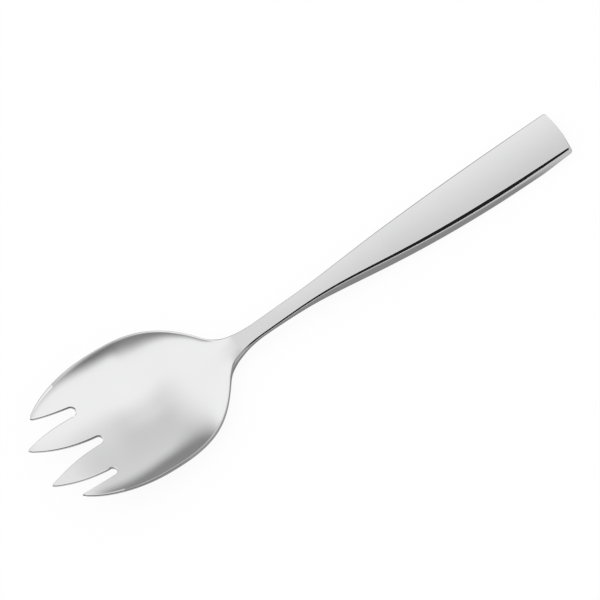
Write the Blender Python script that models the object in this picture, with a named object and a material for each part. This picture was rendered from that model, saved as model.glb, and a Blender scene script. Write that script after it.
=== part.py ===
"""Salad fork: one piece of stainless steel, pressed and forged from a single blank.

Four tines and three slots open a wide shallow bowl, a short throat narrows to a thin neck, and a
solid handle with a flat top grows wider and thicker towards its end. The fork lies on z = 0 on the
belly of its bowl and on the flat back of its handle. X runs along it, tines at -X. Y is its width.
"""

import bpy
import bmesh
from bisect import bisect_right
from math import cos, pi, radians, sin, sqrt
from mathutils import Vector

for leftover in list(bpy.data.objects):
    bpy.data.objects.remove(leftover)

# Overall sizes, in metres
LENGTH = 0.2457
BOWL_WIDTH = 0.0658
NECK_WIDTH = 0.0062
HANDLE_WIDTH = 0.01936

# Places along the fork, measured back from the inner tine tips
OUTER_TIPS_BACK = 0.0077
SIDE_SLOT_DEPTH = 0.0249
MIDDLE_SLOT_DEPTH = 0.0275
WIDEST_BACK = 0.0427
DEEPEST_BACK = 0.0499
MIDDLE_RIM_BACK = 0.0509
LOW_RIM_BACK = 0.0729
THICKER_BACK = 0.0769
GRIP_START_BACK = 0.0829
SHOULDER_BACK = 0.0879
GRIP_FULL_BACK = 0.0889
BOWL_BACK = 0.0919
SLIM_BACK = 0.0964
THROAT_BACK = 0.1027
NECK_LENGTH = 0.0175
ARCH_BACK = 0.1349
GRIP_BACK = 0.1744

# Tines and slots
NOSE_PAST_TIPS = 0.0029
NOSE_SQUARENESS = 2.25
SLOT_WIDTH = 0.0049
SIDE_SLOT_OFFSET = 0.01705
INNER_TIP_OFFSET = 0.0098
TIP_WIDTH = 0.0006
TIP_ROUND = 0.0003
ROOT_GAP = 0.0018
THROAT_BEND = 0.006

# Heights of the top surface above the table
INNER_TIP_HEIGHT = 0.0103
OUTER_TIP_HEIGHT = 0.01175
MIDDLE_RIM_HEIGHT = 0.0081
SLOT_ROOT_HEIGHT = 0.00474
LOW_RIM_HEIGHT = 0.0063
ARCH_HEIGHT = 0.0080
GRIP_HEIGHT = 0.0063
END_HEIGHT = 0.0050

# Thickness of the steel, and how deep the belly and the back are ground flat
TIP_THICKNESS = 0.0009
TINE_THICKNESS = 0.0012
BOWL_THICKNESS = 0.0017
SHOULDER_THICKNESS = 0.0031
SLIM_THICKNESS = 0.0026
NECK_THICKNESS = 0.0025
ARCH_THICKNESS = 0.0045
GRIP_THICKNESS = 0.0054
END_THICKNESS = 0.0039
BELLY_FLAT = 0.0002
BACK_FLAT = 0.0001

# Edges: the bowl's rim is softly rounded and stands upright, the handle's side swells out below a
# crisp top edge
TIP_RIM_RADIUS = 0.0004
SLOT_RIM_RADIUS = 0.00045
BOWL_RIM_RADIUS = 0.0008
SHOULDER_SIDE_RADIUS = 0.0024
NECK_SIDE_RADIUS = 0.0014
HANDLE_SIDE_RADIUS = 0.0036
END_SIDE_RADIUS = 0.0020
BACK_RADIUS = 0.0013
ROUNDED_SHARE = 0.92
SIDE_LEAN = radians(8)
CRISP_EDGE = radians(38)
RIM_EDGE = radians(8)
END_BULGE = 0.0007
END_CORNER = 0.0010
END_FADE = 0.020
END_SWELL = 0.2
TIP_OVERHANG = 0.00037
END_OVERHANG = 0.00015
FACE_HOLLOW = 0.00015
BOWL_SQUARENESS = 2.6
RIM_UPRIGHTNESS = 4

# Faces across and along each stretch of the blank
SLOT_COLUMNS = 4
TINE_COLUMNS = 3
TINE_ROWS = 9
BENT_ROWS = 6
BOWL_ROWS = 14
THROAT_ROWS = 6
NECK_ROWS = 4
HANDLE_ROWS = 11
CORNER_ROWS = 2
SIDE_ARC_STEPS = 2
BACK_ARC_STEPS = 2

STEEL_COLOUR = (0.78, 0.78, 0.79, 1.0)
STEEL_ROUGHNESS = 0.18
SHARP_FROM = radians(30)

TIPS_X = TIP_OVERHANG - LENGTH / 2
END_X = LENGTH / 2 - END_OVERHANG
THROAT_X = TIPS_X + THROAT_BACK
NECK_X = THROAT_X + NECK_LENGTH
SIDE_STEPS = SIDE_ARC_STEPS + 1 + BACK_ARC_STEPS

# How a width or height eases between its two named ends: fraction along, fraction of the change, slope
SHOULDER = (
    (0.0, 1.0, 0.0),
    (0.333, 0.886, -0.90),
    (0.628, 0.320, -3.15),
    (0.767, 0.069, -0.70),
    (1.0, 0.0, 0.0),
)
FLARE = ((0.0, 0.0, 0.0), (0.3, 0.425, 1.95), (1.0, 1.0, 0.1))
INNER_SIDE = ((0.0, 0.0, 0.12), (1.0, 1.0, 1.9))
OUTER_SIDE = ((0.0, 0.0, 0.05), (1.0, 1.0, 2.3))
EDGE_SIDE = ((0.0, 0.0, 0.8), (1.0, 1.0, 1.5))


def ease(knots, x):
    """Read a smooth curve through (place, value, slope) knots."""
    if x <= knots[0][0]:
        return knots[0][1]
    if x >= knots[-1][0]:
        return knots[-1][1]
    span = bisect_right([knot[0] for knot in knots], x) - 1
    (x0, y0, slope0), (x1, y1, slope1) = knots[span], knots[span + 1]
    width = x1 - x0
    t = (x - x0) / width
    rise = t * t * (3 - 2 * t)
    start_pull = t * (1 - t) ** 2
    end_pull = t * t * (t - 1)
    return y0 + (y1 - y0) * rise + width * (slope0 * start_pull + slope1 * end_pull)


def between(start, end, share):
    """Go a share of the way from start to end."""
    return start + (end - start) * share


def smooth_step(start, end, x):
    """Go from 0 at start to 1 at end with no corner."""
    t = min(max((x - start) / (end - start), 0.0), 1.0)
    return t * t * (3 - 2 * t)


def half_width(x):
    """Half of the blank's width: a full round nose, a shoulder, a neck and a flared handle."""
    bowl, neck, handle = BOWL_WIDTH / 2, NECK_WIDTH / 2, HANDLE_WIDTH / 2
    widest = TIPS_X + WIDEST_BACK
    if x < widest:
        nose_reach = WIDEST_BACK + NOSE_PAST_TIPS
        return bowl * sqrt(1 - ((widest - x) / nose_reach) ** NOSE_SQUARENESS)
    if x < THROAT_X:
        return neck + (bowl - neck) * ease(SHOULDER, (x - widest) / (THROAT_X - widest))
    return neck + (handle - neck) * ease(FLARE, (x - NECK_X) / (END_X - NECK_X))


# Heights and thicknesses along the fork: place, value, slope
TOP_LINE = (
    (TIPS_X + OUTER_TIPS_BACK, OUTER_TIP_HEIGHT, -0.07),
    (TIPS_X + MIDDLE_RIM_BACK, MIDDLE_RIM_HEIGHT, -0.085),
    (TIPS_X + LOW_RIM_BACK, LOW_RIM_HEIGHT, 0.0),
    (TIPS_X + ARCH_BACK, ARCH_HEIGHT, 0.0),
    (TIPS_X + GRIP_BACK, GRIP_HEIGHT, -0.048),
    (END_X, END_HEIGHT, 0.0),
)
FLOOR_LINE = (
    (TIPS_X, INNER_TIP_HEIGHT, -0.30),
    (TIPS_X + SIDE_SLOT_DEPTH, SLOT_ROOT_HEIGHT, -0.185),
    (TIPS_X + DEEPEST_BACK, BOWL_THICKNESS - BELLY_FLAT, 0.0),
    (TIPS_X + BOWL_BACK, ease(TOP_LINE, TIPS_X + BOWL_BACK), 0.10),
)
THICKNESS_LINE = (
    (TIPS_X, TIP_THICKNESS, 0.0),
    (TIPS_X + SIDE_SLOT_DEPTH, TINE_THICKNESS, 0.01),
    (TIPS_X + WIDEST_BACK, BOWL_THICKNESS, 0.0),
    (TIPS_X + THICKER_BACK, BOWL_THICKNESS, 0.0),
    (TIPS_X + SHOULDER_BACK, SHOULDER_THICKNESS, 0.0),
    (TIPS_X + SLIM_BACK, SLIM_THICKNESS, 0.0),
    (THROAT_X, NECK_THICKNESS, 0.01),
    (TIPS_X + ARCH_BACK, ARCH_THICKNESS, 0.085),
    (TIPS_X + GRIP_BACK, GRIP_THICKNESS, 0.0),
    (END_X - END_FADE, GRIP_THICKNESS, 0.0),
    (END_X, END_THICKNESS, -0.05),
)
RIM_RADIUS_LINE = (
    (TIPS_X, TIP_RIM_RADIUS, 0.0),
    (TIPS_X + SIDE_SLOT_DEPTH, SLOT_RIM_RADIUS, 0.0),
    (TIPS_X + WIDEST_BACK, BOWL_RIM_RADIUS, 0.0),
)
SIDE_RADIUS_LINE = (
    (TIPS_X + SHOULDER_BACK, SHOULDER_SIDE_RADIUS, 0.0),
    (THROAT_X, NECK_SIDE_RADIUS, 0.0),
    (END_X - 2 * END_FADE, HANDLE_SIDE_RADIUS, 0.0),
    (END_X, END_SIDE_RADIUS, -0.05),
)


def top_height(x, y):
    """Height of the top surface: a steep-walled bowl that runs out into the flat top of the neck."""
    line = ease(TOP_LINE, x)
    across = abs(y) / half_width(x)
    floor = line if x > TIPS_X + BOWL_BACK else min(ease(FLOOR_LINE, x), line)
    hollow = FACE_HOLLOW * smooth_step(TIPS_X + BOWL_BACK, NECK_X, x) * (1 - across ** 2)
    hollow *= (2 * half_width(x) / HANDLE_WIDTH) ** 2
    return floor + (line - floor) * across ** BOWL_SQUARENESS - hollow


def top_normal(x, y):
    """Direction square to the top surface."""
    step = 0.0001
    slope_x = (top_height(x + step, y) - top_height(x - step, y)) / (2 * step)
    slope_y = (top_height(x, y + step) - top_height(x, y - step)) / (2 * step)
    return Vector((-slope_x, -slope_y, 1.0)).normalized()


def thickness(x):
    """Thickness of the steel. The back of the handle is ground off where it reaches the table."""
    full = ease(THICKNESS_LINE, x)
    if x < THROAT_X:
        return full
    return min(full, ease(TOP_LINE, x) + BACK_FLAT)


def side_profile(x):
    """Points down the side of the blank, as (swell outwards, depth below the top face)."""
    grip = smooth_step(TIPS_X + GRIP_START_BACK, TIPS_X + GRIP_FULL_BACK, x)
    rim_radius = ease(RIM_RADIUS_LINE, x)
    top_radius = between(rim_radius, ease(SIDE_RADIUS_LINE, x), grip)
    back_radius = between(rim_radius, BACK_RADIUS, grip)
    start = between(RIM_EDGE, CRISP_EDGE, grip)
    turn = pi / 2 - SIDE_LEAN * grip
    depth = thickness(x)
    rounded = top_radius * (cos(start) - cos(turn)) + back_radius * (1 + cos(turn))
    fit = min(1.0, ROUNDED_SHARE * depth / rounded)
    top_radius *= fit
    back_radius *= fit
    points = []
    for step in range(SIDE_ARC_STEPS + 1):
        angle = between(start, turn, step / SIDE_ARC_STEPS)
        swell = top_radius * (sin(angle) - sin(start))
        drop = top_radius * (cos(start) - cos(angle))
        points.append((swell, drop))
    flank = (depth - fit * rounded) / sin(turn)
    swell += flank * cos(turn)
    drop += flank * sin(turn)
    for step in range(BACK_ARC_STEPS + 1):
        angle = between(turn, pi, step / BACK_ARC_STEPS)
        inward = back_radius * (sin(turn) - sin(angle))
        further = back_radius * (cos(turn) - cos(angle))
        points.append((swell - inward, drop + further))
    return points


MIDDLE_ROOT_X = TIPS_X + MIDDLE_SLOT_DEPTH - SLOT_WIDTH / 2
SIDE_ROOT_X = TIPS_X + SIDE_SLOT_DEPTH - SLOT_WIDTH / 2
INNER_START = SLOT_COLUMNS // 2
INNER_STOP = INNER_START + TINE_COLUMNS
OUTER_START = INNER_STOP + SLOT_COLUMNS
HALF_COLUMNS = OUTER_START + TINE_COLUMNS


def root_point(column):
    """Place on the line through the round ends of the slots, for a column counted from the middle."""
    radius = SLOT_WIDTH / 2
    if column <= INNER_START:
        angle = pi / 2 * column / INNER_START
        return MIDDLE_ROOT_X + radius * cos(angle), radius * sin(angle)
    if column <= INNER_STOP:
        share = (column - INNER_START) / TINE_COLUMNS
        y = between(radius, SIDE_SLOT_OFFSET - radius, share)
        return between(MIDDLE_ROOT_X, SIDE_ROOT_X, share), y
    if column <= OUTER_START:
        angle = pi * (column - INNER_STOP) / SLOT_COLUMNS - pi / 2
        return SIDE_ROOT_X + radius * cos(angle), SIDE_SLOT_OFFSET + radius * sin(angle)
    share = (column - OUTER_START) / TINE_COLUMNS
    return SIDE_ROOT_X, between(SIDE_SLOT_OFFSET + radius, half_width(SIDE_ROOT_X), share)


def tine_point(column, share_out):
    """Place on a tine, share_out of the way from the slots' round ends to its tip."""
    radius = SLOT_WIDTH / 2
    if column <= INNER_STOP:
        across = (column - INNER_START) / TINE_COLUMNS
        near_tip = INNER_TIP_OFFSET - TIP_WIDTH / 2
        near = between(radius, near_tip, ease(INNER_SIDE, share_out))
        far = between(SIDE_SLOT_OFFSET - radius, near_tip + TIP_WIDTH, ease(OUTER_SIDE, share_out))
        root_x = between(MIDDLE_ROOT_X, SIDE_ROOT_X, across)
        x = between(root_x, TIPS_X, share_out)
    else:
        across = (column - OUTER_START) / TINE_COLUMNS
        tip_x = TIPS_X + OUTER_TIPS_BACK
        x = between(SIDE_ROOT_X, tip_x, share_out)
        near_tip = half_width(tip_x) - TIP_WIDTH
        near = between(SIDE_SLOT_OFFSET + radius, near_tip, ease(EDGE_SIDE, share_out))
        far = half_width(x)
    if share_out == 1:
        x += TIP_ROUND * (2 * across - 1) ** 2
    return x, between(near, far, across)


def body_stations():
    """Lengthwise places of the rows behind the slots, closer together where the outline turns."""
    stretches = (
        (TIPS_X + MIDDLE_SLOT_DEPTH + ROOT_GAP, TIPS_X + LOW_RIM_BACK, BOWL_ROWS),
        (TIPS_X + LOW_RIM_BACK, THROAT_X - THROAT_BEND, THROAT_ROWS),
        (THROAT_X - THROAT_BEND, NECK_X, NECK_ROWS),
        (NECK_X, END_X - END_CORNER, HANDLE_ROWS),
    )
    stations = [stretches[0][0]]
    for start, end, count in stretches:
        stations += [between(start, end, step / count) for step in range(1, count + 1)]
    return stations


STATIONS = body_stations()
ROWS = TINE_ROWS + len(STATIONS) + CORNER_ROWS


def body_point(column, row):
    """Place on the bowl, neck or handle. Rows bend round the slots' ends, then run straight across."""
    root_x, root_y = root_point(column)
    spread = smooth_step(0, BOWL_ROWS, row)
    fraction = between(root_y / half_width(min(root_x, SIDE_ROOT_X)), column / HALF_COLUMNS, spread)
    if row < len(STATIONS):
        slot_lag = (MIDDLE_SLOT_DEPTH - SIDE_SLOT_DEPTH) * smooth_step(INNER_START, INNER_STOP, column)
        x = STATIONS[row] - slot_lag * max(0.0, 1 - row / BENT_ROWS)
        width = half_width(x)
    else:
        angle = pi / 2 * (row - len(STATIONS) + 1) / CORNER_ROWS
        x = END_X - END_CORNER * (1 - sin(angle))
        width = half_width(END_X) - END_CORNER * (1 - cos(angle))
    x -= END_BULGE * fraction ** 2 * smooth_step(END_X - END_FADE, END_X, x)
    return x, fraction * width


def plan_point(row, column):
    """Place of one grid point in plan, for a signed column counted from the middle."""
    side = -1 if column < 0 else 1
    if row < TINE_ROWS:
        x, y = tine_point(abs(column), 1 - row / TINE_ROWS)
    elif row == TINE_ROWS:
        x, y = root_point(abs(column))
    else:
        x, y = body_point(abs(column), row - TINE_ROWS - 1)
    return x, side * y


def in_slot(row, column):
    """Whether the grid face behind this corner lies in one of the three slots."""
    middle = -INNER_START <= column < INNER_START
    right = INNER_STOP <= column < OUTER_START
    left = -OUTER_START <= column < -INNER_STOP
    return row < TINE_ROWS and (middle or right or left)


def flat_blank(mesh):
    """Cut the fork's outline from a grid and note each point's place and outward direction."""
    bmesh.ops.create_grid(mesh, x_segments=ROWS, y_segments=2 * HALF_COLUMNS, size=1)
    place_layer = mesh.verts.layers.float_vector.new("place")
    outward_layer = mesh.verts.layers.float_vector.new("outward")
    grid = {}
    for vert in mesh.verts:
        row = round((vert.co.x + 1) / 2 * ROWS)
        column = round((vert.co.y + 1) * HALF_COLUMNS) - HALF_COLUMNS
        grid[vert] = (row, column)
    slots = []
    for face in mesh.faces:
        row = min(grid[vert][0] for vert in face.verts)
        column = min(grid[vert][1] for vert in face.verts)
        if in_slot(row, column):
            slots.append(face)
    bmesh.ops.delete(mesh, geom=slots, context="FACES")
    for vert in mesh.verts:
        x, y = plan_point(*grid[vert])
        vert.co = (x, y, 0)
        vert[place_layer] = vert.co
    for vert in mesh.verts:
        if vert.is_boundary:
            vert[outward_layer] = outward_direction(vert)


def outward_direction(vert):
    """Mean direction away from the blank over the two border edges at this point."""
    total = Vector((0, 0, 0))
    for edge in vert.link_edges:
        if edge.is_boundary:
            start, end = (corner.co for corner in edge.verts)
            along = (end - start).normalized()
            away = (start + end) / 2 - edge.link_faces[0].calc_center_median()
            total += (away - along * away.dot(along)).normalized()
    return total.normalized()


def give_thickness(mesh):
    """Pull the blank into a closed slab and cut its sides into steps, noting each point's depth."""
    depth_layer = mesh.verts.layers.float.new("depth")
    top = set(mesh.verts)
    bmesh.ops.extrude_face_region(mesh, geom=mesh.faces[:])
    for vert in mesh.verts:
        if vert not in top:
            vert[depth_layer] = 1.0
            vert.co.z = -BOWL_THICKNESS
    sides = [edge for edge in mesh.edges if len({vert in top for vert in edge.verts}) == 2]
    bmesh.ops.subdivide_edges(mesh, edges=sides, cuts=SIDE_STEPS - 1, use_grid_fill=True)


def formed_point(place, outward, depth):
    """Where a point of the slab ends up once the fork is pressed, forged and ground."""
    x, y = place.x, place.y
    upright = min(abs(y) / half_width(x), 1.0) ** RIM_UPRIGHTNESS
    normal = top_normal(x, y).lerp(Vector((0, 0, 1)), upright).normalized()
    point = Vector((x, y, top_height(x, y)))
    swell, drop = side_profile(x)[round(depth * SIDE_STEPS)]
    if outward.length:
        level = (outward - normal * outward.dot(normal)).normalized()
        if x > NECK_X:
            swell *= 1 - (1 - END_SWELL) * outward.x ** 2
        point += level * swell
    elif depth:
        point.y += y / half_width(x) * swell
    point -= normal * drop
    point.z = max(point.z, 0.0)
    return point


def form_fork(mesh):
    """Move every point of the slab to its place on the finished fork."""
    layers = mesh.verts.layers
    place, outward = layers.float_vector["place"], layers.float_vector["outward"]
    depth = layers.float["depth"]
    for vert in mesh.verts:
        vert.co = formed_point(vert[place], vert[outward], vert[depth])


def polished_steel():
    """Bright stainless steel."""
    steel = bpy.data.materials.new("stainless_steel")
    steel.use_nodes = True
    shader = steel.node_tree.nodes["Principled BSDF"]
    shader.inputs["Base Color"].default_value = STEEL_COLOUR
    shader.inputs["Metallic"].default_value = 1.0
    shader.inputs["Roughness"].default_value = STEEL_ROUGHNESS
    return steel


def make_fork():
    """Blank, slab, then finished fork, in a collection of its own."""
    mesh = bmesh.new()
    flat_blank(mesh)
    give_thickness(mesh)
    form_fork(mesh)
    bmesh.ops.recalc_face_normals(mesh, faces=mesh.faces[:])
    data = bpy.data.meshes.new("salad_fork")
    mesh.to_mesh(data)
    mesh.free()
    data.shade_smooth()
    data.set_sharp_from_angle(angle=SHARP_FROM)
    data.materials.append(polished_steel())
    fork = bpy.data.objects.new("salad_fork", data)
    collection = bpy.data.collections.new("Salad fork")
    bpy.context.scene.collection.children.link(collection)
    collection.objects.link(fork)


make_fork()
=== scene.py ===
# %% [markdown]
# The object is a salad serving fork, pressed from a single blank of stainless steel and then
# polished. The packed model is loaded first. It fixes the size and the place of everything below,
# and the detailed fork that this lesson makes is laid exactly into its box.

from bisect import bisect_right
from math import atan, cos, pi, radians, sin, sqrt

import bmesh
import bpy
from mathutils import Matrix, Vector


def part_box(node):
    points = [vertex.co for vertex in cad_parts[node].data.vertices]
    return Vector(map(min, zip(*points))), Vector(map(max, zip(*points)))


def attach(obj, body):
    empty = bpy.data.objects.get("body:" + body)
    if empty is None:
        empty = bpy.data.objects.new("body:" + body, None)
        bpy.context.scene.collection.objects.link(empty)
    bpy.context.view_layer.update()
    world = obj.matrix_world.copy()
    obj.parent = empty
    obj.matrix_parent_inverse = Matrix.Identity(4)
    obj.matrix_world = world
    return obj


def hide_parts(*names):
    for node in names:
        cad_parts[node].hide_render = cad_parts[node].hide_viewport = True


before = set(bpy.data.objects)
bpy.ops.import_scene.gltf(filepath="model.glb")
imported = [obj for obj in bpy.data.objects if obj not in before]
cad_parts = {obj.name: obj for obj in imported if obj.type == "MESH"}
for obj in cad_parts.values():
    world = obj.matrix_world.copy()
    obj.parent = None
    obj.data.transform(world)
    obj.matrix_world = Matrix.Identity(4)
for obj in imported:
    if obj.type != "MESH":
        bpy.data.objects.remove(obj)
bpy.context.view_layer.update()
LOW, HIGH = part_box("salad_fork")

# %% [markdown]
# Every curve of the fork is drawn by a few knots: a place along the fork, a value there and the slope
# with which the curve passes. A cubic between each pair of knots joins them smoothly. This is what a
# Bezier curve in the graph editor does, and here it serves widths, heights and thicknesses alike.


# %% Smooth curves
def ease(knots, x):
    """Read a smooth curve through (place, value, slope) knots."""
    if x <= knots[0][0]:
        return knots[0][1]
    if x >= knots[-1][0]:
        return knots[-1][1]
    span = bisect_right([knot[0] for knot in knots], x) - 1
    (x0, y0, slope0), (x1, y1, slope1) = knots[span], knots[span + 1]
    width = x1 - x0
    t = (x - x0) / width
    rise = t * t * (3 - 2 * t)
    start_pull = t * (1 - t) ** 2
    end_pull = t * t * (t - 1)
    return y0 + (y1 - y0) * rise + width * (slope0 * start_pull + slope1 * end_pull)


def between(start, end, share):
    """Go a share of the way from start to end."""
    return start + (end - start) * share


def smooth_step(start, end, x):
    """Go from 0 at start to 1 at end with no corner."""
    t = min(max((x - start) / (end - start), 0.0), 1.0)
    return t * t * (3 - 2 * t)


print("a smooth step, a quarter of the way along:", smooth_step(0.0, 1.0, 0.25))

# %% [markdown]
# The blank is the flat outline that a press cuts from the strip of steel. Seen from above, the nose
# of the bowl is a slightly squared ellipse that the outer tines end on, the shoulder runs in an S to
# the slim neck, and the handle flares to its wide end. The places are measured back from the tips of
# the two inner tines, which reach furthest.

# %% Places and widths of the blank
TIP_OVERHANG = 0.00037
END_OVERHANG = 0.0002
RIM_OVERHANG = 0.00062

TIPS_X = LOW.x + TIP_OVERHANG
END_X = HIGH.x - END_OVERHANG
BOWL_HALF = (HIGH.y - LOW.y) / 2 - RIM_OVERHANG
NECK_HALF = 0.0031
HANDLE_HALF = 0.00968

MIDDLE_SLOT_DEPTH = 0.0275
SIDE_SLOT_DEPTH = 0.0249
OUTER_TIPS_X = TIPS_X + 0.0077
SLOT_END_X = TIPS_X + SIDE_SLOT_DEPTH
WIDEST_X = TIPS_X + 0.0427
LOW_RIM_X = TIPS_X + 0.0729
SHOULDER_X = TIPS_X + 0.0879
THROAT_X = TIPS_X + 0.1027
NECK_X = THROAT_X + 0.0175
ARCH_X = TIPS_X + 0.1349
GRIP_X = TIPS_X + 0.1744
NOSE_REACH = 0.0456
NOSE_SQUARENESS = 2.25

SHOULDER = (
    (0.0, 1.0, 0.0),
    (0.333, 0.886, -0.90),
    (0.628, 0.320, -3.15),
    (0.767, 0.069, -0.70),
    (1.0, 0.0, 0.0),
)
FLARE = ((0.0, 0.0, 0.0), (0.3, 0.425, 1.95), (1.0, 1.0, 0.1))


def half_width(x):
    """Half of the blank's width: a full round nose, a shoulder, a neck and a flared handle."""
    if x < WIDEST_X:
        return BOWL_HALF * sqrt(1 - ((WIDEST_X - x) / NOSE_REACH) ** NOSE_SQUARENESS)
    if x < THROAT_X:
        return between(NECK_HALF, BOWL_HALF, ease(SHOULDER, (x - WIDEST_X) / (THROAT_X - WIDEST_X)))
    return between(NECK_HALF, HANDLE_HALF, ease(FLARE, (x - NECK_X) / (END_X - NECK_X)))


for name, x in (("bowl", WIDEST_X), ("neck", NECK_X), ("handle end", END_X)):
    print(f"{name}: {2000 * half_width(x):.1f} mm wide at x = {1000 * x:.1f} mm")

# %% [markdown]
# From the side the fork is a shallow wave. The rim of the bowl falls from the tines to a low place
# before the neck, the neck arches up, and the handle sinks back to the table. Inside the rim the
# press has sunk a dish with a round floor and steep walls: the floor follows its own line, and a
# power of the distance across lifts it to the rim. The handle's face is polished very slightly
# hollow, which is why it mirrors a gentle shade across its width.

# %% Heights of the top face
MIDDLE_RIM_X = TIPS_X + 0.0509
TOP_LINE = (
    (OUTER_TIPS_X, HIGH.z, -0.07),
    (MIDDLE_RIM_X, 0.0081, -0.085),
    (LOW_RIM_X, 0.0063, 0.0),
    (ARCH_X, 0.0080, 0.0),
    (GRIP_X, 0.0063, -0.048),
    (END_X, 0.0050, 0.0),
)
DEEPEST_X = TIPS_X + 0.0499
DISH_END_X = TIPS_X + 0.0919
FLOOR_LINE = (
    (TIPS_X, 0.0103, -0.30),
    (SLOT_END_X, 0.00474, -0.185),
    (DEEPEST_X, 0.0015, 0.0),
    (DISH_END_X, ease(TOP_LINE, DISH_END_X), 0.10),
)
DISH_SQUARENESS = 2.6
FACE_HOLLOW = 0.00015


def top_height(x, y):
    """Height of the top face: a steep-walled dish that runs out into the flat face of the handle."""
    line = ease(TOP_LINE, x)
    across = abs(y) / half_width(x)
    floor = line if x > DISH_END_X else min(ease(FLOOR_LINE, x), line)
    hollow = FACE_HOLLOW * smooth_step(DISH_END_X, NECK_X, x) * (1 - across ** 2)
    hollow *= (half_width(x) / HANDLE_HALF) ** 2
    return between(floor, line, across ** DISH_SQUARENESS) - hollow


def top_normal(x, y):
    """Direction square to the top face."""
    step = 0.0001
    slope_x = (top_height(x + step, y) - top_height(x - step, y)) / (2 * step)
    slope_y = (top_height(x, y + step) - top_height(x, y - step)) / (2 * step)
    return Vector((-slope_x, -slope_y, 1.0)).normalized()


print("floor of the bowl, mm above the table:", round(1000 * top_height(DEEPEST_X, 0), 2))

# %% [markdown]
# The steel is thin in the tines, thicker in the bowl and thickest where the throat and the handle
# were left full. Where the handle comes down to the table its thickness reaches only a hair past it,
# and the pressing further on grinds that off, so that the back is flat there.

# %% Thickness of the steel
THICKER_X = TIPS_X + 0.0769
SLIM_X = TIPS_X + 0.0964
TAPER_X = END_X - 0.020
THICKNESS_LINE = (
    (TIPS_X, 0.0009, 0.0),
    (SLOT_END_X, 0.0012, 0.01),
    (WIDEST_X, 0.0017, 0.0),
    (THICKER_X, 0.0017, 0.0),
    (SHOULDER_X, 0.0031, 0.0),
    (SLIM_X, 0.0026, 0.0),
    (THROAT_X, 0.0025, 0.01),
    (ARCH_X, 0.0045, 0.085),
    (GRIP_X, 0.0054, 0.0),
    (TAPER_X, 0.0053, 0.0),
    (END_X, 0.0039, -0.05),
)
BACK_FLAT = 0.0001


def thickness(x):
    """Thickness of the steel. The back of the handle is ground off where it reaches the table."""
    full = ease(THICKNESS_LINE, x)
    if x < THROAT_X:
        return full
    return min(full, ease(TOP_LINE, x) + BACK_FLAT)


for name, x in (("tine", SLOT_END_X), ("bowl", WIDEST_X), ("throat", THROAT_X), ("handle", GRIP_X)):
    print(f"{name}: {1000 * thickness(x):.1f} mm thick")

# %% [markdown]
# The border is what catches the light. The rim of the bowl ends in a narrow flat land, a small bevel
# and a short upright side, while the handle keeps a crisp top edge above a side that swells out in a
# long arc. The border's section is a list of small steps outwards and down: the land, a little round
# at the top edge, the bevel, the long arc, a straight flank and the round into the back. Land and
# bevel fade to almost nothing along the tines and on the handle. They keep a least step, because
# faces with no width at all would spoil the shading beside them.

# %% The section of the border
SWELL_X = END_X - 0.040
SIDE_RADIUS_LINE = (
    (SHOULDER_X, 0.0024, 0.0),
    (THROAT_X, 0.0014, 0.0),
    (SWELL_X, 0.0036, 0.0),
    (END_X, 0.0020, -0.05),
)
GRIP_START_X = TIPS_X + 0.0829
GRIP_FULL_X = TIPS_X + 0.0889
BEVEL_FULL_X = TIPS_X + 0.016
LAND_START_X = TIPS_X + 0.018
LAND_FULL_X = TIPS_X + 0.034
RIM_LAND = 0.00016
RIM_BEVEL = 0.0002
LEAST_STEP = 0.00002
EDGE_RADIUS = 0.00015
RIM_RADIUS = 0.0003
BACK_RADIUS = 0.0013
ROUNDED_SHARE = 0.96
RIM_EDGE = radians(27)
CRISP_EDGE = radians(38)
SIDE_LEAN = radians(8)
EDGE_STEPS = 3
ARC_STEPS = 8
BACK_STEPS = 7
SIDE_STEPS = 1 + EDGE_STEPS + 1 + ARC_STEPS + 1 + BACK_STEPS


def arc(points, radius, start, end, steps):
    """Carry the section on by an arc whose outward normal turns from start to end."""
    swell, drop = points[-1]
    for step in range(1, steps + 1):
        angle = between(start, end, step / steps)
        outwards = radius * (sin(angle) - sin(start))
        down = radius * (cos(start) - cos(angle))
        points.append((swell + outwards, drop + down))


def slide(points, length, angle):
    """Carry the section straight on, down a face whose outward normal leans by the angle."""
    swell, drop = points[-1]
    points.append((swell + length * cos(angle), drop + length * sin(angle)))


def border_section(x):
    """Points down the border of the blank, as (swell outwards, depth below the top face)."""
    grip = smooth_step(GRIP_START_X, GRIP_FULL_X, x)
    top_radius = between(RIM_RADIUS, ease(SIDE_RADIUS_LINE, x), grip)
    back_radius = between(RIM_RADIUS, BACK_RADIUS, grip)
    crisp = between(RIM_EDGE, CRISP_EDGE, grip)
    turn = pi / 2 - SIDE_LEAN * grip
    depth = thickness(x)
    rounded = EDGE_RADIUS * (1 - cos(crisp)) + top_radius * (cos(crisp) - cos(turn))
    rounded += back_radius * (1 + cos(turn))
    bevel = max(LEAST_STEP, RIM_BEVEL * (1 - grip) * smooth_step(TIPS_X, BEVEL_FULL_X, x))
    depth -= bevel * sin(crisp)
    fit = min(1.0, ROUNDED_SHARE * depth / rounded)
    land = max(LEAST_STEP, RIM_LAND * (1 - grip) * smooth_step(LAND_START_X, LAND_FULL_X, x))
    points = [(0.0, 0.0), (land, 0.0)]
    arc(points, fit * EDGE_RADIUS, 0.0, crisp, EDGE_STEPS)
    slide(points, bevel, crisp)
    arc(points, fit * top_radius, crisp, turn, ARC_STEPS)
    slide(points, (depth - fit * rounded) / sin(turn), turn)
    arc(points, fit * back_radius, turn, pi, BACK_STEPS)
    return points


for name, x in (("rim", WIDEST_X), ("handle", GRIP_X)):
    widest = max(swell for swell, drop in border_section(x))
    print(f"{name}: the border swells {1000 * widest:.2f} mm past the blank")

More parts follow.
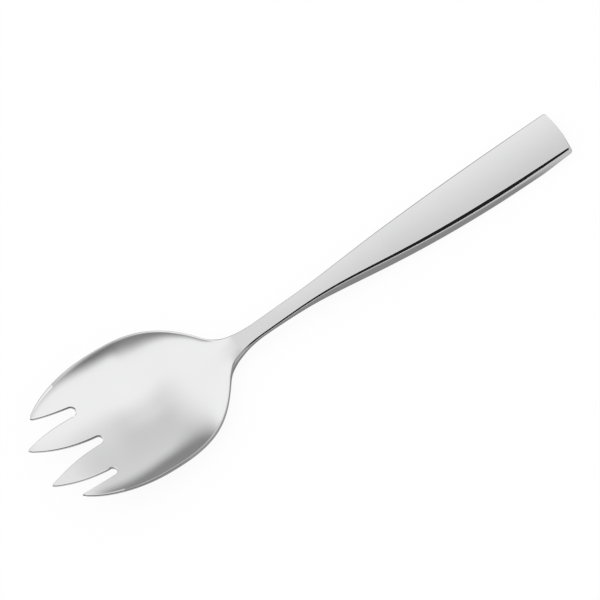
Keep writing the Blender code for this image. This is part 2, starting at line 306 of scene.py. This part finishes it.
# %% [markdown]
# The grid that becomes the blank has rows along the fork and columns across it. Three groups of
# columns are given up to the slots, and the others fan out to the four tines. Each tine has two sides
# that curve in to a small round tip. These rules give the grid points from the tips back to the
# slots' round ends their places in plan.

# %% Slots and tines
SLOT_RADIUS = 0.0025
SIDE_SLOT_OFFSET = 0.01705
INNER_TIP_OFFSET = 0.0098
TIP_WIDTH = 0.0006
TIP_ROUND = 0.0003
INNER_SIDE = ((0.0, 0.0, 0.12), (1.0, 1.0, 1.9))
OUTER_SIDE = ((0.0, 0.0, 0.05), (1.0, 1.0, 2.3))
EDGE_SIDE = ((0.0, 0.0, 0.8), (1.0, 1.0, 1.5))

SLOT_COLUMNS = 16
TINE_COLUMNS = 10
MIDDLE_ROOT_X = TIPS_X + MIDDLE_SLOT_DEPTH - SLOT_RADIUS
SIDE_ROOT_X = TIPS_X + SIDE_SLOT_DEPTH - SLOT_RADIUS
INNER_START = SLOT_COLUMNS // 2
INNER_STOP = INNER_START + TINE_COLUMNS
OUTER_START = INNER_STOP + SLOT_COLUMNS
HALF_COLUMNS = OUTER_START + TINE_COLUMNS


def root_point(column):
    """Place on the line through the round ends of the slots, for a column counted from the middle."""
    if column <= INNER_START:
        angle = pi / 2 * column / INNER_START
        return MIDDLE_ROOT_X + SLOT_RADIUS * cos(angle), SLOT_RADIUS * sin(angle)
    if column <= INNER_STOP:
        share = (column - INNER_START) / TINE_COLUMNS
        y = between(SLOT_RADIUS, SIDE_SLOT_OFFSET - SLOT_RADIUS, share)
        return between(MIDDLE_ROOT_X, SIDE_ROOT_X, share), y
    if column <= OUTER_START:
        angle = pi * (column - INNER_STOP) / SLOT_COLUMNS - pi / 2
        return SIDE_ROOT_X + SLOT_RADIUS * cos(angle), SIDE_SLOT_OFFSET + SLOT_RADIUS * sin(angle)
    share = (column - OUTER_START) / TINE_COLUMNS
    return SIDE_ROOT_X, between(SIDE_SLOT_OFFSET + SLOT_RADIUS, half_width(SIDE_ROOT_X), share)


def tine_point(column, share_out):
    """Place on a tine, share_out of the way from the slots' round ends to its tip."""
    if column <= INNER_STOP:
        across = (column - INNER_START) / TINE_COLUMNS
        near_tip = INNER_TIP_OFFSET - TIP_WIDTH / 2
        near = between(SLOT_RADIUS, near_tip, ease(INNER_SIDE, share_out))
        slot_side = SIDE_SLOT_OFFSET - SLOT_RADIUS
        far = between(slot_side, near_tip + TIP_WIDTH, ease(OUTER_SIDE, share_out))
        x = between(between(MIDDLE_ROOT_X, SIDE_ROOT_X, across), TIPS_X, share_out)
    else:
        across = (column - OUTER_START) / TINE_COLUMNS
        x = between(SIDE_ROOT_X, OUTER_TIPS_X, share_out)
        near_tip = half_width(OUTER_TIPS_X) - TIP_WIDTH
        near = between(SIDE_SLOT_OFFSET + SLOT_RADIUS, near_tip, ease(EDGE_SIDE, share_out))
        far = half_width(x)
    if share_out == 1:
        x += TIP_ROUND * (2 * across - 1) ** 2
    return x, between(near, far, across)


for name, column in (("middle slot", 0), ("side slot", (INNER_STOP + OUTER_START) // 2)):
    print(f"{name}: ends {1000 * (root_point(column)[0] - TIPS_X):.1f} mm behind the tips")

# %% [markdown]
# Behind the slots the rows bend round the slots' ends and lean towards the tips at the rim. Further
# back they run straight across the fork, while the columns spread evenly again. The rows lie closer
# where the outline turns, in the throat and round the two corners of the handle's end. The end itself
# bulges a little.

# %% Bowl, neck and handle
END_BULGE = 0.0007
END_CORNER = 0.0010
BODY_START_X = TIPS_X + MIDDLE_SLOT_DEPTH + 0.0006
FINE_ROWS_X = THROAT_X - 0.006
EDGE_LAG = 0.0022

TINE_ROWS = 40
BENT_ROWS = 24
BOWL_ROWS = 60
CORNER_ROWS = 6
STRETCHES = (
    (BODY_START_X, LOW_RIM_X, BOWL_ROWS),
    (LOW_RIM_X, FINE_ROWS_X, 36),
    (FINE_ROWS_X, NECK_X, 20),
    (NECK_X, END_X - END_CORNER, 56),
)
STATIONS = [BODY_START_X]
for start, end, count in STRETCHES:
    STATIONS += [between(start, end, step / count) for step in range(1, count + 1)]
ALL_ROWS = TINE_ROWS + len(STATIONS) + CORNER_ROWS


def body_point(column, row):
    """Place on the bowl, neck or handle. Rows bend round the slots' ends, then run straight across."""
    root_x, root_y = root_point(column)
    spread = smooth_step(0, BOWL_ROWS, row)
    fraction = between(root_y / half_width(min(root_x, SIDE_ROOT_X)), column / HALF_COLUMNS, spread)
    if row < len(STATIONS):
        slot_lag = (MIDDLE_SLOT_DEPTH - SIDE_SLOT_DEPTH) * smooth_step(INNER_START, INNER_STOP, column)
        edge_lag = EDGE_LAG * smooth_step(OUTER_START, HALF_COLUMNS, column)
        x = STATIONS[row] - (slot_lag + edge_lag) * max(0.0, 1 - row / BENT_ROWS)
        width = half_width(x)
    else:
        angle = pi / 2 * (row - len(STATIONS) + 1) / CORNER_ROWS
        x = END_X - END_CORNER * (1 - sin(angle))
        width = half_width(END_X) - END_CORNER * (1 - cos(angle))
    x -= END_BULGE * fraction ** 2 * smooth_step(TAPER_X, END_X, x)
    return x, fraction * width


def plan_point(row, column):
    """Place of one grid point in plan, for a signed column counted from the middle."""
    side = -1 if column < 0 else 1
    if row < TINE_ROWS:
        x, y = tine_point(abs(column), 1 - row / TINE_ROWS)
    elif row == TINE_ROWS:
        x, y = root_point(abs(column))
    else:
        x, y = body_point(abs(column), row - TINE_ROWS - 1)
    return x, side * y


print("grid:", ALL_ROWS, "rows by", 2 * HALF_COLUMNS, "columns")

# %% [markdown]
# A grid is the natural start for a sheet of metal. Its faces in the slots are deleted, as the punch
# takes them out, and the remaining points are moved to their places. Each point on the border also
# notes which way is outwards, because the border's section will be laid along that direction.


# %% Cut the blank
def in_slot(row, column):
    """Whether the grid face behind this corner lies in one of the three slots."""
    middle = -INNER_START <= column < INNER_START
    right = INNER_STOP <= column < OUTER_START
    left = -OUTER_START <= column < -INNER_STOP
    return row < TINE_ROWS and (middle or right or left)


def outward_direction(vert):
    """Mean direction away from the blank over the two border edges at this point."""
    total = Vector((0, 0, 0))
    for edge in vert.link_edges:
        if edge.is_boundary:
            start, end = (corner.co for corner in edge.verts)
            along = (end - start).normalized()
            away = (start + end) / 2 - edge.link_faces[0].calc_center_median()
            total += (away - along * away.dot(along)).normalized()
    return total.normalized()


fork_mesh = bmesh.new()
place_layer = fork_mesh.verts.layers.float_vector.new("place")
outward_layer = fork_mesh.verts.layers.float_vector.new("outward")
depth_layer = fork_mesh.verts.layers.float.new("depth")
bmesh.ops.create_grid(fork_mesh, x_segments=ALL_ROWS, y_segments=2 * HALF_COLUMNS, size=1)

grid = {}
for vert in fork_mesh.verts:
    row = round((vert.co.x + 1) / 2 * ALL_ROWS)
    column = round((vert.co.y + 1) * HALF_COLUMNS) - HALF_COLUMNS
    grid[vert] = (row, column)
slot_faces = []
for face in fork_mesh.faces:
    row = min(grid[vert][0] for vert in face.verts)
    column = min(grid[vert][1] for vert in face.verts)
    if in_slot(row, column):
        slot_faces.append(face)
bmesh.ops.delete(fork_mesh, geom=slot_faces, context="FACES")
for vert in fork_mesh.verts:
    vert.co = (*plan_point(*grid[vert]), 0)
    vert[place_layer] = vert.co
for vert in fork_mesh.verts:
    if vert.is_boundary:
        vert[outward_layer] = outward_direction(vert)
print("blank:", len(fork_mesh.faces), "faces,", len(slot_faces), "cut out for the slots")

# %% [markdown]
# Extruding the whole blank turns it into a closed slab with a copy of itself as the back. The upright
# edges between the two are then cut into as many steps as the border's section has. Each point knows
# its depth as a share of the way down, so the pressing that follows can find it in the section.

# %% Give the blank its thickness
top_face = set(fork_mesh.verts)
bmesh.ops.extrude_face_region(fork_mesh, geom=fork_mesh.faces[:])
for vert in fork_mesh.verts:
    if vert not in top_face:
        vert[depth_layer] = 1.0
        vert.co.z = -thickness(WIDEST_X)
upright = [edge for edge in fork_mesh.edges if len({vert in top_face for vert in edge.verts}) == 2]
bmesh.ops.subdivide_edges(fork_mesh, edges=upright, cuts=SIDE_STEPS - 1, use_grid_fill=True)
print("slab:", len(fork_mesh.faces), "faces")

# %% [markdown]
# Now the slab is pressed and ground to its final form. The top face takes its height and the back
# follows at the thickness below. The border takes its section square to the face on the handle and
# the tines, but beside the bowl's steep wall it is turned upright, because a rim is ground from
# above. Nothing goes under the table: the bowl's belly and the handle's back are ground flat there.

# %% Press the fork
END_SWELL = 0.2
UPRIGHT_POWER = 4
STEEL_DENSITY = 7850


def formed_point(place, outward, depth):
    """Where a point of the slab ends up once the fork is pressed, forged and ground."""
    x, y = place.x, place.y
    upright = min(abs(y) / half_width(x), 1.0) ** UPRIGHT_POWER
    normal = top_normal(x, y).lerp(Vector((0, 0, 1)), upright).normalized()
    point = Vector((x, y, top_height(x, y)))
    swell, drop = border_section(x)[round(depth * SIDE_STEPS)]
    if outward.length:
        level = (outward - normal * outward.dot(normal)).normalized()
        if x > NECK_X:
            swell *= 1 - (1 - END_SWELL) * outward.x ** 2
        point += level * swell
    elif depth:
        point.y += y / half_width(x) * swell
    point -= normal * drop
    point.z = max(point.z, 0.0)
    return point


for vert in fork_mesh.verts:
    vert.co = formed_point(vert[place_layer], vert[outward_layer], vert[depth_layer])
bmesh.ops.recalc_face_normals(fork_mesh, faces=fork_mesh.faces[:])
volume = fork_mesh.calc_volume()
print(f"fork: {volume * 1e6:.1f} cubic cm of steel, about {1000 * volume * STEEL_DENSITY:.0f} g")

# %% [markdown]
# The finished mesh becomes one object at the origin. The large faces of the top are much wider than
# the strips of the border, so each point's normal is weighted by face area. That keeps a mirror
# finish flat right up to the edge, where plain smoothing would bend the reflection.

# %% Make the fork object
fork_data = bpy.data.meshes.new("fork_polished")
fork_mesh.to_mesh(fork_data)
fork_mesh.free()
for layer_name in ("outward", "depth", "place"):
    fork_data.attributes.remove(fork_data.attributes[layer_name])
fork_data.shade_smooth()
fork = bpy.data.objects.new("fork_polished", fork_data)
bpy.context.scene.collection.objects.link(fork)
weighting = fork.modifiers.new("even_mirror", "WEIGHTED_NORMAL")
weighting.mode = "FACE_AREA"
weighting.weight = 50
print("object:", len(fork_data.polygons), "faces")

# %% [markdown]
# A material is a tree of nodes, and this small bench builds one. Besides adding a node and wiring it
# up it has helpers for what repeats below: a fade, where a Map Range node turns a place into a soft
# change from one level to another, a lean, where a dot product tells how far a place lies towards a
# direction, a noise, and a stir, which adds a share of a noise to a value.


# %% A bench for nodes
class NodeBench:
    """Adds nodes to one material's tree and wires them up."""

    def __init__(self, tree):
        self.tree = tree

    def add(self, kind, **settings):
        """Add a node with its settings."""
        node = self.tree.nodes.new(kind)
        for key, value in settings.items():
            setattr(node, key, value)
        return node

    def join(self, source, output, target, socket):
        """Wire an output to an input."""
        self.tree.links.new(source.outputs[output], target.inputs[socket])

    def fade(self, source, output, span, before, after):
        """Go softly from one level to another while a value crosses a span."""
        node = self.add("ShaderNodeMapRange", interpolation_type="SMOOTHSTEP")
        start, end = span
        node.inputs["From Min"].default_value = start
        node.inputs["From Max"].default_value = end
        for socket, level in (("To Min", before), ("To Max", after)):
            if isinstance(level, float):
                node.inputs[socket].default_value = level
            else:
                self.join(level, "Result", node, socket)
        self.join(source, output, node, "Value")
        return node

    def lean(self, place, facing):
        """Measure how far a place lies towards a direction."""
        node = self.add("ShaderNodeVectorMath", operation="DOT_PRODUCT")
        node.inputs[1].default_value = facing
        self.join(place, "Object", node, 0)
        return node

    def noise(self, source, output, scale, detail):
        """Add a noise with its fineness and its layers of detail."""
        node = self.add("ShaderNodeTexNoise")
        node.inputs["Scale"].default_value = scale
        node.inputs["Detail"].default_value = detail
        self.join(source, output, node, "Vector")
        return node

    def stir(self, noise, amount, base, output):
        """Add a share of a noise to a value."""
        node = self.add("ShaderNodeMath", operation="MULTIPLY_ADD")
        node.inputs[1].default_value = amount
        self.join(noise, "Fac", node, 0)
        self.join(base, output, node, 2)
        return node


print("a bench with:", [name for name in vars(NodeBench) if not name.startswith("_")])

# %% [markdown]
# Polished steel is all reflection, so its colour is a light neutral grey with full metallic value.
# What sets one area apart from another is how fine the polish is. The handle went over a mop until
# it mirrors, while the inside of the bowl kept a softer satin polish. A gradient along the fork mixes
# the two, broken up by a slow noise, and fine hairlines from the wheel, drawn out along the fork,
# stir the roughness and the bump a little.

# %% The steel
MIRROR_ROUGHNESS = 0.04
SATIN_ROUGHNESS = 0.09
SATIN_TO_MIRROR = (THROAT_X - 0.018, THROAT_X + 0.004)
HAIRLINE_SCALE = 2600.0
HAIRLINE_DETAIL = 3.0
HAIRLINE_STRETCH = (0.06, 1.0, 1.0)
CLOUD_SCALE = 45.0
CLOUD_DETAIL = 2.0
ROUGHNESS_STIR = 0.03
DARKER_STEEL = (0.83, 0.83, 0.835, 1.0)
LIGHTER_STEEL = (0.87, 0.87, 0.875, 1.0)
GRAIN_STRENGTH = 0.015
GRAIN_DEPTH = 0.00002


def polished_steel():
    """Stainless steel with a mirror handle and a satin bowl."""
    steel = bpy.data.materials.new("polished_steel")
    steel.use_nodes = True
    bench = NodeBench(steel.node_tree)
    shader = steel.node_tree.nodes["Principled BSDF"]
    shader.inputs["Metallic"].default_value = 1.0

    place = bench.add("ShaderNodeTexCoord")
    split = bench.add("ShaderNodeSeparateXYZ")
    bench.join(place, "Object", split, "Vector")
    polish = bench.fade(split, "X", SATIN_TO_MIRROR, SATIN_ROUGHNESS, MIRROR_ROUGHNESS)
    stretch = bench.add("ShaderNodeMapping")
    stretch.inputs["Scale"].default_value = HAIRLINE_STRETCH
    bench.join(place, "Object", stretch, "Vector")
    hairlines = bench.noise(stretch, "Vector", HAIRLINE_SCALE, HAIRLINE_DETAIL)
    cloud = bench.noise(place, "Object", CLOUD_SCALE, CLOUD_DETAIL)

    clouded = bench.stir(cloud, ROUGHNESS_STIR, polish, "Result")
    roughness = bench.stir(hairlines, ROUGHNESS_STIR, clouded, "Value")
    bench.join(roughness, "Value", shader, "Roughness")

    tone = bench.add("ShaderNodeValToRGB")
    tone.color_ramp.elements[0].color = DARKER_STEEL
    tone.color_ramp.elements[1].color = LIGHTER_STEEL
    bench.join(cloud, "Fac", tone, "Fac")
    bench.join(tone, "Color", shader, "Base Color")

    grain = bench.add("ShaderNodeBump")
    grain.inputs["Strength"].default_value = GRAIN_STRENGTH
    grain.inputs["Distance"].default_value = GRAIN_DEPTH
    bench.join(hairlines, "Fac", grain, "Height")
    bench.join(grain, "Normal", shader, "Normal")
    return steel


fork_data.materials.append(polished_steel())
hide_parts("salad_fork")
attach(fork, "root")
print("materials:", [material.name for material in fork_data.materials])

# %% [markdown]
# A mirror shows its surroundings, so the studio matters as much as the steel. What stands in it is
# staged, which keeps it out of the part itself. A few helpers serve every thing of the stage: they
# turn a mesh into a staged object, start an empty material, write a neutral colour, and hide a thing
# from all but the fork's mirrors.


# %% Things of the stage
def stage_object(name, mesh, material):
    """Turn a mesh into an object of the stage."""
    data = bpy.data.meshes.new(name)
    mesh.to_mesh(data)
    mesh.free()
    data.materials.append(material)
    item = bpy.data.objects.new(name, data)
    bpy.context.scene.collection.objects.link(item)
    return item


def bare_material(name):
    """A new node material with nothing but its output, and a bench to build it on."""
    material = bpy.data.materials.new(name)
    material.use_nodes = True
    tree = material.node_tree
    tree.nodes.remove(tree.nodes["Principled BSDF"])
    return material, NodeBench(tree), tree.nodes["Material Output"]


def grey(level):
    """A neutral colour."""
    return (level, level, level, 1.0)


def for_mirrors_only(item):
    """Hide a stage object from the camera, and let it cast neither light nor shadow on the floor."""
    item.visible_camera = False
    item.visible_diffuse = False
    item.visible_shadow = False


print("a neutral mid grey:", grey(0.5))

# %% [markdown]
# The fork lies on a pale floor. The floor's own dark colour takes the world's light, and with it the
# fork's faint shadow. A glow that only the camera and mirrors see is added to it, so that the
# background comes out white without any more light on the fork.

# %% The floor
FLOOR_SIZE = 8.0
FLOOR_GAP = 0.00002
FLOOR_COLOUR = 0.08
FLOOR_WHITE = 0.92


def floor_material():
    """A pale floor that keeps the fork's shadow, with some white of its own for camera and mirrors."""
    pale, bench, output = bare_material("pale_floor")
    matt = bench.add("ShaderNodeBsdfDiffuse")
    matt.inputs["Color"].default_value = grey(FLOOR_COLOUR)
    ray = bench.add("ShaderNodeLightPath")
    seen = bench.add("ShaderNodeMath", operation="ADD", use_clamp=True)
    bench.join(ray, "Is Camera Ray", seen, 0)
    bench.join(ray, "Is Glossy Ray", seen, 1)
    through = bench.add("ShaderNodeMath", operation="ADD", use_clamp=True)
    bench.join(seen, "Value", through, 0)
    bench.join(ray, "Is Transmission Ray", through, 1)
    glow = bench.add("ShaderNodeEmission")
    glow.inputs["Color"].default_value = grey(FLOOR_WHITE)
    bench.join(through, "Value", glow, "Strength")
    both = bench.add("ShaderNodeAddShader")
    bench.join(matt, "BSDF", both, 0)
    bench.join(glow, "Emission", both, 1)
    bench.join(both, "Shader", output, "Surface")
    return pale


floor_mesh = bmesh.new()
bmesh.ops.create_grid(floor_mesh, x_segments=1, y_segments=1, size=FLOOR_SIZE / 2)
bmesh.ops.translate(floor_mesh, verts=floor_mesh.verts, vec=(0, 0, -FLOOR_GAP))
stage_object("floor", floor_mesh, floor_material())
print(f"floor: {FLOOR_SIZE:.0f} m wide")

# %% [markdown]
# Around the fork stands a light tent that only mirrors see: white cloth with a silk panel overhead, a
# dark skirt and dark flags sewn into it. The flags on the camera's side draw the black line under the
# handle's crisp edge and the dark band inside the far wall of the bowl. The skirt gives the soft shade
# in the bowl's floor and its near wall.
#
# The tent is a large sphere that glows. Its cloths are layers of brightness, and each layer begins at
# a soft straight edge: a plane that is given by the direction it faces, and by how far past the tent's
# middle the fade starts and ends, in shares of the tent's radius. There the brightness goes over from
# the cloths laid before to the new one.

# %% The light tent
TENT_RADIUS = 3.5
WHITE_CLOTH = 1.0
PALE_CLOTH = 0.90
UPPER_FOLD = 0.67
LOWER_FOLD = 0.74
SKIRT_CLOTH = 0.27
HEM_CLOTH = 0.25
SIDE_CLOTH = 0.23
FRONT_CLOTH = 0.19
BLACK_CLOTH = 0.015
GREYED_CLOTH = 0.40


def lay_cloth(bench, place, facing, span, before, cloth):
    """Lay a cloth over the tent where the direction from its middle leans towards its facing."""
    lean = bench.lean(place, Vector(facing) / TENT_RADIUS)
    return bench.fade(lean, "Value", span, before, cloth)


def tent_material():
    """White cloth with a grey silk panel, a dark skirt round the foot and black flags."""
    tent, bench, output = bare_material("tent_cloth")
    place = bench.add("ShaderNodeTexCoord")
    fold = lay_cloth(bench, place, (0, 0, -1), (-0.82, -0.33), UPPER_FOLD, LOWER_FOLD)
    skirt = lay_cloth(bench, place, (-0.39, -0.62, -0.68), (-0.91, -0.77), fold, SKIRT_CLOTH)
    hem = lay_cloth(bench, place, (0, 0, -1), (-0.32, -0.18), WHITE_CLOTH, HEM_CLOTH)
    left_edge = lay_cloth(bench, place, (0.99, 0.07, 0.07), (-0.14, 0.08), hem, skirt)
    right_edge = lay_cloth(bench, place, (0.99, -0.09, -0.06), (0.16, 0.27), left_edge, PALE_CLOTH)
    panel = lay_cloth(bench, place, (-0.07, 0.07, -1.00), (-0.88, -0.74), WHITE_CLOTH, right_edge)
    side_flag = lay_cloth(bench, place, (-0.54, -0.61, 0.58), (0.61, 0.71), panel, SIDE_CLOTH)
    front_flag = lay_cloth(bench, place, (0.23, -0.96, -0.15), (0.05, 0.24), side_flag, FRONT_CLOTH)
    black_or_grey = lay_cloth(bench, place, (1, 0, 0), (0.12, 0.35), BLACK_CLOTH, GREYED_CLOTH)
    black_flag = lay_cloth(bench, place, (0, -0.77, -0.64), (-0.06, 0.03), front_flag, black_or_grey)
    glow = bench.add("ShaderNodeEmission")
    bench.join(black_flag, "Result", glow, "Strength")
    bench.join(glow, "Emission", output, "Surface")
    return tent


tent_mesh = bmesh.new()
bmesh.ops.create_uvsphere(tent_mesh, u_segments=64, v_segments=32, radius=TENT_RADIUS)
for_mirrors_only(stage_object("light_tent", tent_mesh, tent_material()))
print(f"light tent: {2 * TENT_RADIUS:.0f} m across")

# %% [markdown]
# Close by, the floor that the fork's sides mirror lies in the fork's own shade. That shade is
# painted on a dim glowing sheet, which again only mirrors see. Towards the camera the painted
# shadow soon fades out to the white of the floor, while it reaches far out behind the fork. It is
# lighter under the tines, where light comes through the slots, and beside the near corner of the
# handle's end.

# %% The painted shadow on the floor
SHADOW_SHEET_SIZE = 6.0
SHADOW_SHEET_GAP = 0.00001
# Glow levels of the painted shadow beside the fork, on its near and far side, and lighter spots of
# painted light.
NEAR_SHADOW = 0.33
FAR_SHADOW = 0.24
NEAR_TO_FAR = (-0.03, 0.0)
LIGHTER_SHADOW = 0.62
CORNER_FACING = (1, -3, 0)
CORNER_FADE = (0.135, 0.165)
FAR_TINE_SHADOW = 0.28
FAR_TINE_FADE = (0.022, 0.040)
TINES_TO_BOWL = (-0.112, -0.098)
SHADOW_EDGE_FADE = (0.06, 0.14)
FAR_SHRINK = 0.03


def painted_shadow_material():
    """Painted shadow for mirrors: a dim glow whose edges fade to the floor's white."""
    shadow_sheet, bench, output = bare_material("painted_shadow_glow")
    place = bench.add("ShaderNodeTexCoord")
    split = bench.add("ShaderNodeSeparateXYZ")
    bench.join(place, "Object", split, "Vector")
    across = bench.fade(split, "Y", NEAR_TO_FAR, NEAR_SHADOW, FAR_SHADOW)
    corner = bench.lean(place, CORNER_FACING)
    handle = bench.fade(corner, "Value", CORNER_FADE, across, LIGHTER_SHADOW)
    tines = bench.fade(split, "Y", FAR_TINE_FADE, LIGHTER_SHADOW, FAR_TINE_SHADOW)
    middle = bench.fade(split, "X", TINES_TO_BOWL, tines, handle)

    distance = bench.add("ShaderNodeMath", operation="MAXIMUM")
    for socket, stretch in ((0, -1.0), (1, FAR_SHRINK)):
        side = bench.add("ShaderNodeMath", operation="MULTIPLY")
        side.inputs[1].default_value = stretch
        bench.join(split, "Y", side, 0)
        bench.join(side, "Value", distance, socket)
    shade = bench.fade(distance, "Value", SHADOW_EDGE_FADE, middle, 1.0)
    glow = bench.add("ShaderNodeEmission")
    bench.join(shade, "Result", glow, "Strength")
    bench.join(glow, "Emission", output, "Surface")
    return shadow_sheet


painted_shadow_mesh = bmesh.new()
bmesh.ops.create_grid(painted_shadow_mesh, x_segments=1, y_segments=1, size=SHADOW_SHEET_SIZE / 2)
bmesh.ops.translate(painted_shadow_mesh, verts=painted_shadow_mesh.verts, vec=(0, 0, -SHADOW_SHEET_GAP))
# The painted shadow is a dim glowing sheet just above the floor that only mirrors see.
for_mirrors_only(stage_object("painted_floor_shadow", painted_shadow_mesh, painted_shadow_material()))
print(f"dark mat: {1000 * SHADOW_EDGE_FADE[0]:.0f} mm towards the camera before it fades")

# %% [markdown]
# The world is even and white, and it lights the floor. The steel never mirrors it, because the tent
# stands in front. The Standard view transform shows every colour as it is written.

# %% The white world
world = bpy.data.worlds.new("studio_white")
world.use_nodes = True
world.node_tree.nodes["Background"].inputs["Color"].default_value = grey(1.0)
world.node_tree.nodes["Background"].inputs["Strength"].default_value = 1.0
bpy.context.scene.world = world
bpy.context.scene.view_settings.view_transform = "Standard"
print("world:", world.name)

# %% [markdown]
# The camera looks down at the fork over a very long lens, because the photograph shows almost no
# perspective: both ends of the fork are drawn at one scale. It stands a little towards the tines and
# is rolled so that the fork climbs to the right. The climb is measured on a line along the fork that
# falls a little towards the handle.

# %% The camera
CAMERA_ELEVATION = radians(56.9)
CAMERA_SWING = radians(-5.75)
CAMERA_DISTANCE = 4.0
FRAME_WIDTH = 0.2372
TARGET = Vector((-0.0004, 0.0004, 0.00644))
HANDLE_DROP = 0.0314
CLIMB = radians(33)

level_distance = cos(CAMERA_ELEVATION)
towards_camera = Vector((
    sin(CAMERA_SWING) * level_distance,
    -cos(CAMERA_SWING) * level_distance,
    sin(CAMERA_ELEVATION),
))
fork_axis = Vector((cos(atan(HANDLE_DROP)), 0, -sin(atan(HANDLE_DROP))))
along = (fork_axis - towards_camera * fork_axis.dot(towards_camera)).normalized()
upward = towards_camera.cross(along)
right = along * cos(CLIMB) - upward * sin(CLIMB)
above = along * sin(CLIMB) + upward * cos(CLIMB)

camera_data = bpy.data.cameras.new("camera")
camera_data.sensor_width = 36.0
camera_data.lens = camera_data.sensor_width * CAMERA_DISTANCE / FRAME_WIDTH
camera_data.clip_end = 20.0
camera = bpy.data.objects.new("camera", camera_data)
axes = Matrix((right, above, towards_camera)).transposed().to_4x4()
camera.matrix_world = Matrix.Translation(TARGET + towards_camera * CAMERA_DISTANCE) @ axes
bpy.context.scene.collection.objects.link(camera)
bpy.context.scene.camera = camera
print(f"camera {CAMERA_DISTANCE} m away with a {camera_data.lens:.0f} mm lens")

# %% [markdown]
